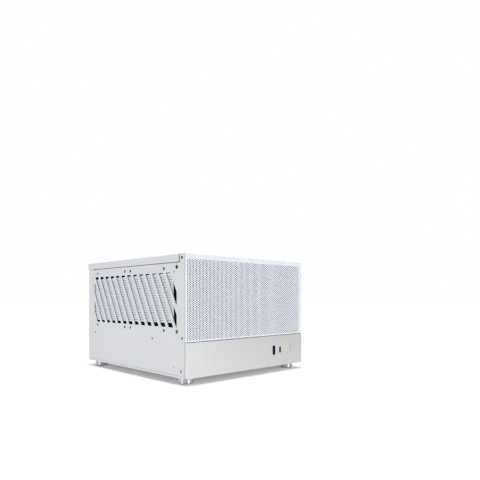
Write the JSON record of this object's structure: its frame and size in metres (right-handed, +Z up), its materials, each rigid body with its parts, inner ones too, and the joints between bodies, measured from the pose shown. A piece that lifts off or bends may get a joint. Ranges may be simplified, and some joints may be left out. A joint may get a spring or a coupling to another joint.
{
  "type": "computer case",
  "caption": "Low white desktop computer case with slanted side vents, perforated pull-off front, lift-off top, aluminium port band with a push button, on round bright feet.",
  "frame": {"origin": "on the table under the middle of the case", "axes": "+Z up, front faces -Y, +X to the right seen from the front"},
  "size_m": [0.237, 0.261, 0.1688],
  "materials": {
    "white_steel": "fine satin powder coat",
    "screen_steel": "satin powder coat, perforated",
    "mesh_steel": "satin powder coat, perforated",
    "anodised_band": "fine blasted, anodised",
    "button_metal": "turned, anodised",
    "bright_foot": "polished",
    "foot_rubber": "matt",
    "zinc_screw": "zinc plated",
    "dark_screw": "dark zinc",
    "brass_post": "turned",
    "black_plastic": "moulded",
    "blue_plastic": "moulded",
    "filter_cloth": "fine woven net",
    "port_shell": "nickel plated",
    "circuit_board": "solder mask"
  },
  "bodies": {
    "chassis": {"base_pan": "white_steel", "left_side_panel": "white_steel", "right_side_panel": "white_steel", "front_frame": "white_steel", "rear_panel": "white_steel", "motherboard_deck": "white_steel", "slot_covers": "white_steel", "left_screen": "screen_steel", "right_screen": "screen_steel", "left_filter": "filter_cloth", "right_filter": "filter_cloth", "front_band": "anodised_band", "standoffs": "brass_post", "slot_screws": "zinc_screw", "band_screws": "zinc_screw", "small_screws": "zinc_screw", "foot_screws": "zinc_screw", "deck_rivets": "zinc_screw", "large_screws": "dark_screw", "cover_sockets": "black_plastic", "mesh_sockets": "black_plastic", "usb_a_shell": "port_shell", "usb_c_shell": "port_shell", "usb_a_tongue": "blue_plastic", "usb_c_tongue": "black_plastic", "io_bracket": "black_plastic", "io_board": "circuit_board", "power_switch": "black_plastic", "feet": "bright_foot", "foot_pads": "foot_rubber"},
    "top_cover": {"top_cover": "white_steel", "cover_studs": "zinc_screw"},
    "front_panel": {"front_mesh": "mesh_steel", "filter_frame": "black_plastic", "filter_net": "filter_cloth", "mesh_studs": "zinc_screw"},
    "power_button": {"power_button": "button_metal"}
  },
  "joints": [
    {"name": "power_button_press", "type": "slide", "parent": "chassis", "child": "power_button", "axis": [0, 1, 0], "range_m": [0, 0.001], "stiffness_N_per_m": 1500},
    {"name": "top_cover_lift", "type": "slide", "parent": "chassis", "child": "top_cover", "axis": [0, 0, 1], "range_m": [0, 0.12]},
    {"name": "front_panel_pull", "type": "slide", "parent": "chassis", "child": "front_panel", "axis": [0, -1, 0], "range_m": [0, 0.06]}
  ]
}
